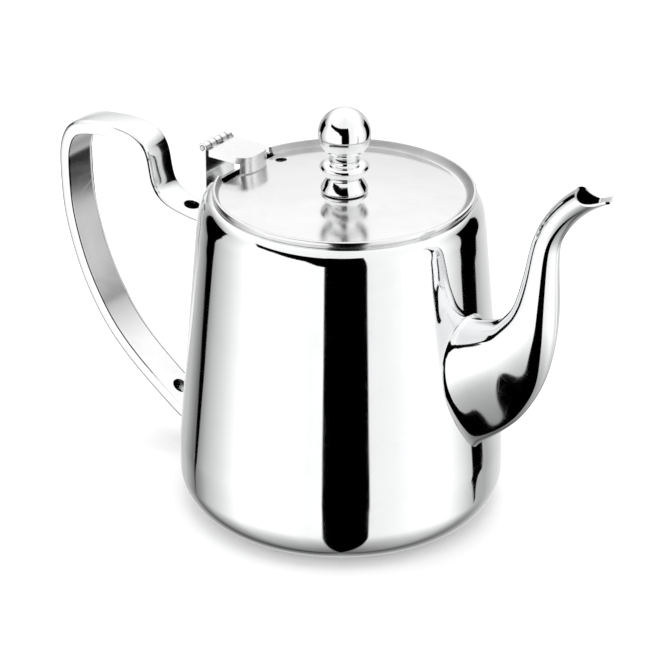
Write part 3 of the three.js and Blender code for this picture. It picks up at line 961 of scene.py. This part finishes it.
fit(lid_leaf, leaf_steel, "lid", "satin_steel", "hinge_lid_leaf")

pin_low, pin_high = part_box("hinge_pin")
PIN_RADIUS = (pin_high.z - pin_low.z) / 2 / MM
pin_end = pin_high.y / MM
pin_points, pin_faces = [], []
pin_loop = [
    (0.001, -pin_end), (0.5, -pin_end + 0.05), (0.8, -pin_end + 0.2), (PIN_RADIUS, -pin_end + 0.4)
]
pin_loop += [(r, -y) for r, y in reversed(pin_loop)]
for k in range(24):
    a = 2 * math.pi * k / 24
    pin_points += [(PIN_X + r * math.cos(a), y, PIN_Z + r * math.sin(a)) for r, y in pin_loop]
n = len(pin_loop)
for k in range(24):
    here, there = k * n, (k + 1) % 24 * n
    pin_faces += [(here + i, here + i + 1, there + i + 1, there + i) for i in range(n - 1)]
pin_faces += [tuple(k * n for k in range(24)), tuple(k * n + n - 1 for k in range(24))]
hinge_pin = soften(new_piece("hinge_pin_peened", pin_points, pin_faces), 0, angle=50, weighted=False)
drawn_steel = steel_finish(
    "bright drawn steel",
    colour=(0.74, 0.745, 0.75),
    shade=(0.66, 0.665, 0.67),
    roughness=0.2,
    run=(5000.0, 300.0, 5000.0),
    line_depth=0.03,
    waviness=0.2,
    spread=0.1,
)
fit(hinge_pin, drawn_steel, "pot", "plain_steel", "hinge_pin")

# ---------------------------------------------------------------------------------------------
# Lid. Pressed from sheet: a domed floor that drops into the pot's mouth, and a raised rim that
# rests on the shoulder and stands a little towards the spout. A steam hole is punched beside
# the hinge, and the edge is cut straight where the hinge's leaf comes in.

_, lid_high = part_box("lid_shell")
LID_X = 1.2  # the rim and the knob stand this far towards the spout
LID_RADIUS = lid_high.x / MM - LID_X
LID_SEAT = RIM_HEIGHT + 0.3
LID_CROWN = 118.4
DOME_DROP = 1156.0  # the floor falls by radius * radius / DOME_DROP
SHIFT = (42.4, 44.6)  # between these radii the rim's offset grows to LID_X
HOLE_SHIFT = (10.0, 3.0)  # and inwards of these the screw hole's does
SCREW_HOLE = 2.3


def dome(radius):
    return (radius, LID_CROWN - radius * radius / DOME_DROP)


def dome_under(radius):
    return (radius, LID_CROWN - SHEET - radius * radius / DOME_DROP)


lid_line = [dome_under(r) for r in np.linspace(SCREW_HOLE, 41.6, 22)]
lid_line += bezier_points((42.6, 115.95), (43.3, 116.1), (43.45, LID_SEAT), 6)
lid_line += [(LID_RADIUS - 0.15, LID_SEAT), (LID_RADIUS, LID_SEAT + 0.15)]
lid_line += bezier_points((LID_RADIUS, 118.5), (LID_RADIUS, 119.3), (45.1, 119.3), 9)
lid_line += bezier_points((44.75, 119.3), (44.5, 119.1), (44.3, 118.6), 6)
lid_line += bezier_points((43.5, 117.45), (43.0, 116.85), (42.4, 116.85), 9)
lid_line += [dome(r) for r in np.linspace(41.6, SCREW_HOLE, 26)]
lid = turned("lid_dish", lid_line, FINE_TURNS)
for corner in lid.data.vertices:
    reach = math.hypot(corner.co.x, corner.co.y) / MM
    share = np.interp(reach, (HOLE_SHIFT[1], HOLE_SHIFT[0], *SHIFT), (1, 0, 0, 1))
    corner.co.x += LID_X * MM * share
VENT_RADIUS = 2.1
vent = rod((-34.0, 11.8, 116), (0, 0, 1), VENT_RADIUS, 12, 40)
LID_NOTCH_X = -38.6
lid_notch = block(-62, LID_NOTCH_X, -NOTCH_HALF, NOTCH_HALF, 105, 125)
carve(lid, lid_notch, vent)
soften(lid, 0.12, angle=46, segments=2, weighted=False)
lid_steel = steel_finish(
    "buffed lid steel",
    colour=(0.86, 0.86, 0.86),
    shade=(0.82, 0.82, 0.82),
    roughness=0.12,
    run=(300.0, 3800.0, 3800.0),
    line_depth=0.002,
    waviness=0.3,
    spread=0.03,
    ring_centre=LID_X,
)
fit(lid, lid_steel, "lid", "mirror_polished_steel", "lid_shell")
# The buffing wheel doesn't reach the corner inside the rim, which stays rougher, as it was pressed;
# its much darker colour is painted shade.
unbuffed_painted_shade_steel = steel_finish(
    "unbuffed steel with painted shade",
    # much darker than the lid's 0.86: painted shade in the corner inside the rim
    colour=(0.60, 0.60, 0.60),
    shade=(0.50, 0.50, 0.50),
    roughness=0.42,
    run=(300.0, 2400.0, 2400.0),
    line_depth=0.01,
    waviness=0.3,
    spread=0.08,
    ring_centre=LID_X,
)
lid.data.materials.append(unbuffed_painted_shade_steel)
# the steep inner wall of the rim takes the darker steel: painted shade in the corner
for face in lid.data.polygons:
    x, y, z = face.center / MM
    reach = math.hypot(x, y)
    inward = -(face.normal.x * x + face.normal.y * y) / max(reach, 1.0)
    if inward > 0.35 and face.normal.z > 0 and reach > 40 and z > 116.5:
        face.material_index = 1

# ---------------------------------------------------------------------------------------------
# Knob. Turned from bar and polished: a ball over a waisted neck, a collar, and a bell-shaped
# foot. A slotted screw comes up through a washer and the lid into a blind hole in it.

knob_low, knob_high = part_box("knob")
KNOB_X = (knob_low.x + knob_high.x) / 2 / MM
KNOB_BASE = knob_low.z / MM
KNOB_TOP = knob_high.z / MM
BALL_Z = 139.8
BALL_SIZE = (9.25, KNOB_TOP - BALL_Z)


def over_base(*points):
    """Points of the knob's outline given from its base."""
    return [(radius, KNOB_BASE + height) for radius, height in points]


knob_line = over_base((0, 0), (SCREW_HOLE + 0.2, 0), (7.9, 0), (8.15, 0.12))
knob_line += bezier_points(*over_base((8.3, 0.8), (7.9, 2.1), (6.3, 4.5)), 12)
knob_line += over_base((6.1, 4.72), (6.05, 4.9), (6.2, 5.05))
knob_line += bezier_points(*over_base((6.4, 5.1), (7.6, 6.2), (8.4, 7.9)), 8)
knob_line += curve_points((8.2, KNOB_BASE + 8.75), (0.42, 0.6), -50, 50, 8)
knob_line += bezier_points(*over_base((8.4, 9.5), (7.6, 10.6), (5.9, 10.8)), 9)
knob_line += bezier_points(*over_base((5.3, 11.0), (5.1, 12.0), (5.42, 13.5)), 7)
knob_line += curve_points((0, BALL_Z), BALL_SIZE, -53, 90, 48)[:-1]
knob_line += [(0, KNOB_TOP)]
knob = turned("knob_turned", knob_line, 96, KNOB_X)
soften(knob, 0.0, angle=50, weighted=False)
knob_steel = steel_finish(
    "turned knob steel",
    colour=(0.91, 0.912, 0.915),
    shade=(0.88, 0.882, 0.885),
    roughness=0.045,
    run=(400.0, 6800.0, 6800.0),
    line_depth=0.003,
    waviness=0.5,
    spread=0.025,
    ring_centre=KNOB_X,
)
fit(knob, knob_steel, "lid", "mirror_polished_steel", "knob")

washer_low, washer_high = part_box("knob_washer")
WASHER_RADIUS = (washer_high.x - washer_low.x) / 2 / MM
wz0, wz1 = washer_low.z / MM, washer_high.z / MM
washer_line = [
    (SCREW_HOLE, wz0), (WASHER_RADIUS - 0.3, wz0), (WASHER_RADIUS, wz0 + 0.3),
    (WASHER_RADIUS, wz1 - 0.1), (WASHER_RADIUS - 0.1, wz1), (SCREW_HOLE, wz1),
]
washer = soften(turned("knob_fixing_washer", washer_line, 64, KNOB_X), 0, angle=40, weighted=False)
fit(washer, drawn_steel, "lid", "plain_steel", "knob_washer")

screw_low, screw_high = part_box("knob_screw")
SCREW_RADIUS = 2.0
sz0, sz1 = screw_low.z / MM, screw_high.z / MM
head_top = wz0 - 0.05
screw_line = [(0, sz0)] + curve_points((0, sz0 + 1.6), (3.7, 1.6), -86, -8, 10)
screw_line += [(3.8, head_top - 0.15), (3.7, head_top), (SCREW_RADIUS, head_top)]
thread_pitch = 0.7
ridge_z = head_top + 3.2
while ridge_z < sz1 - 1.2:
    screw_line += [(SCREW_RADIUS - 0.3, ridge_z), (SCREW_RADIUS, ridge_z + thread_pitch / 2)]
    ridge_z += thread_pitch
screw_line += [(SCREW_RADIUS - 0.3, sz1 - 0.6), (SCREW_RADIUS - 0.7, sz1), (0, sz1)]
screw = turned("knob_fixing_screw", screw_line, 48, KNOB_X)
carve(screw, block(KNOB_X - 6, KNOB_X + 6, -0.5, 0.5, sz0 - 1, sz0 + 1.1))
soften(screw, 0, angle=35, weighted=False)
fit(screw, drawn_steel, "lid", "plain_steel", "knob_screw")

# ---------------------------------------------------------------------------------------------
# Studio. A pale floor in an evenly lit white cloth tent. Gaps in the cloth, in front and towards
# the back on each side, give the polished steel its dark bands. The tent is seen only in
# reflections.

CAMERA_TURN = math.radians(34.5)  # round from the -Y side
CAMERA_RISE = math.radians(26.2)
CAMERA_DISTANCE = 1.018
CAMERA_AIM = Vector((-0.005395, -0.002268, 0.06553))
CAMERA_LENS = 159.14
TENT_LIGHT = 1.18

world = bpy.data.worlds.new("white tent")
bpy.context.scene.world = world
world.use_nodes = True
tent = world.node_tree.nodes["Background"]
tent.inputs[0].default_value = (1, 1, 1, 1)
tent.inputs[1].default_value = TENT_LIGHT


def studio_paper(name, colour, glow=0.0):
    material = bpy.data.materials.new(name)
    material.use_nodes = True
    paper = material.node_tree.nodes["Principled BSDF"]
    paper.inputs["Base Color"].default_value = (*colour, 1)
    paper.inputs["Roughness"].default_value = 0.9
    paper.inputs["Specular IOR Level"].default_value = 0.1
    if glow:
        paper.inputs["Emission Color"].default_value = (1, 1, 1, 1)
        paper.inputs["Emission Strength"].default_value = glow
    return material


floor_size = 6.0
floor = new_piece(
    "floor",
    [
        (sx * floor_size / MM, sy * floor_size / MM, 0)
        for sx, sy in ((-1, -1), (1, -1), (1, 1), (-1, 1))
    ],
    [(0, 1, 2, 3)],
)
floor.location.z = -0.0001
if floor.data.polygons[0].normal.z < 0:
    floor.data.flip_normals()
floor.data.materials.append(studio_paper("pale floor", (0.86, 0.86, 0.86), 0.12))


def round_pot(turn, distance, height):
    """A point round the pot: degrees to the right of the camera, distance out and height, mm."""
    a = CAMERA_TURN + math.radians(turn)
    return (math.sin(a) * distance, -math.cos(a) * distance, height)


# What the polished steel sees: tone of the tent by degrees round from the camera.
LEFT_TONES = (
    (13.5, 0.95), (23, 0.93), (35, 1.0), (79, 0.98), (94, 0.71), (110, 0.48), (118, 0.3),
    (128, 0.16), (133, 0.26), (138, 0.34), (146, 0.48), (154, 0.5), (162, 0.6), (170, 0.82),
    (180, 0.95),
)
RIGHT_TONES = (
    (19.8, 0.82), (24, 0.84), (37, 0.88), (48, 0.95), (59, 1.0), (71, 1.0), (83, 0.95),
    (95, 0.72), (105, 0.5), (113, 0.38), (123, 0.37), (131, 0.47), (139, 0.57), (154, 0.68),
    (162, 0.73), (170, 0.86), (180, 0.95),
)
# Dark gaps between the tent's sides and its back: elevation, first and last degree round.
LEFT_GAP = ((-30, 127, 127), (-28, 126, 128), (-24, 121, 125), (-19, 118, 129), (-9, 112, 130),
            (0, 106, 134), (8, 105, 135), (20, 104, 134))
RIGHT_GAP = ((-30, 110, 110), (-26, 104, 112), (-20, 104, 124), (-17, 104, 130), (-11, 104, 135),
             (-5, 104, 134), (8, 104, 133), (20, 104, 131))
FRONT_GAP = (-13.2, 19.4)
FRONT_GAP_TOP = 42
SIDE_TOP = ((13, 8), (19, 11), (29, 21), (45, 25), (57, 29), (75, 31), (84, 40))
FLOOR_FADE = ((-90, 0.12), (-75, 0.25), (-60, 0.42), (-50, 0.55), (-40, 0.75), (-30, 1.0))


def between(x, stops, column=1):
    return float(np.interp(x, [s[0] for s in stops], [s[column] for s in stops]))


def tent_tone(turn, rise):
    """Brightness of the tent in a direction, in degrees to the camera's right and above level."""
    side = abs(turn)
    in_front = FRONT_GAP[0] < turn < FRONT_GAP[1]
    gap = LEFT_GAP if turn < 0 else RIGHT_GAP
    in_gap = rise < 20 and between(rise, gap, 1) < side < between(rise, gap, 2)
    over_left = turn < FRONT_GAP[0] and side < 84 and between(side, SIDE_TOP) < rise < 41
    if (in_front and rise < FRONT_GAP_TOP) or in_gap or over_left:
        return 0.0
    wall = 0.9 if in_front else between(side, LEFT_TONES if turn < 0 else RIGHT_TONES)
    overhead = 0.82 + 0.14 * min(side, 90) / 90
    if side > 150:  # the back is a shade darker above the pot than level with it
        wall -= 0.2 * min(max(rise / 10, 0), 1)
        share = min(max((rise - 12) / 18, 0), 1)
    else:
        share = min(max((rise - 20) / 18, 0), 1)
    if in_front:
        share = 1.0
    return (wall * (1 - share) + overhead * share) * between(rise, FLOOR_FADE)


TENT_RADIUS = 4000.0
turns = np.arange(-180, 180, 0.75)
rises = np.concatenate(
    [np.arange(-90, -30, 5.0), np.arange(-30, 50, 1.0), np.arange(50, 90.1, 5.0)]
)
tent_points, tent_tones = [], []
for rise in rises:
    for turn in turns:
        level = TENT_RADIUS * math.cos(math.radians(rise))
        height = TENT_RADIUS * math.sin(math.radians(rise))
        tent_points.append(round_pot(turn, max(level, 0.5), height))
        tent_tones.append(tent_tone(turn, rise))
across = len(turns)
tent_faces = [
    (r * across + c, r * across + (c + 1) % across,
     (r + 1) * across + (c + 1) % across, (r + 1) * across + c)
    for r in range(len(rises) - 1)
    for c in range(across)
]
tent_mesh = bpy.data.meshes.new("tent lining")
tent_mesh.from_pydata([Vector(p) * MM for p in tent_points], [], tent_faces)
tones = tent_mesh.color_attributes.new("tone", "FLOAT_COLOR", "POINT")
tones.data.foreach_set("color", [v for t in tent_tones for v in (t, t, t, 1.0)])
lining = bpy.data.objects.new("tent lining", tent_mesh)
bpy.context.scene.collection.objects.link(lining)
cloth = bpy.data.materials.new("lit tent cloth")
cloth.use_nodes = True
cloth_tree = cloth.node_tree
cloth_tree.nodes.remove(cloth_tree.nodes["Principled BSDF"])
tone = wire(cloth_tree, "ShaderNodeVertexColor", layer_name="tone")
glow = wire(cloth_tree, "ShaderNodeEmission", {0: tone.outputs[0], 1: TENT_LIGHT})
cloth_tree.links.new(glow.outputs[0], cloth_tree.nodes["Material Output"].inputs[0])
tent_mesh.materials.append(cloth)
lining.visible_camera = False
lining.visible_diffuse = False
lining.visible_shadow = False
floor.visible_glossy = False

key = bpy.data.lights.new("overhead softbox", "AREA")
key.shape = "RECTANGLE"
key.size = 1.4
key.size_y = 1.4
key.energy = 10
overhead = bpy.data.objects.new("overhead softbox", key)
overhead.location = (-0.1, 0.25, 1.6)
overhead.visible_glossy = False
bpy.context.scene.collection.objects.link(overhead)
aim_down = Vector((0, 0, 0.05)) - overhead.location
overhead.rotation_euler = aim_down.to_track_quat("-Z", "Y").to_euler()

back = Vector((
    math.sin(CAMERA_TURN) * math.cos(CAMERA_RISE),
    -math.cos(CAMERA_TURN) * math.cos(CAMERA_RISE),
    math.sin(CAMERA_RISE),
))
camera_data = bpy.data.cameras.new("camera")
camera_data.lens = CAMERA_LENS
camera_data.sensor_width = 36
camera_data.clip_start = 0.01
camera = bpy.data.objects.new("camera", camera_data)
camera.location = CAMERA_AIM + back * CAMERA_DISTANCE
camera.rotation_euler = back.to_track_quat("Z", "Y").to_euler()
bpy.context.scene.collection.objects.link(camera)
bpy.context.scene.camera = camera
bpy.context.scene.view_settings.view_transform = "Standard"
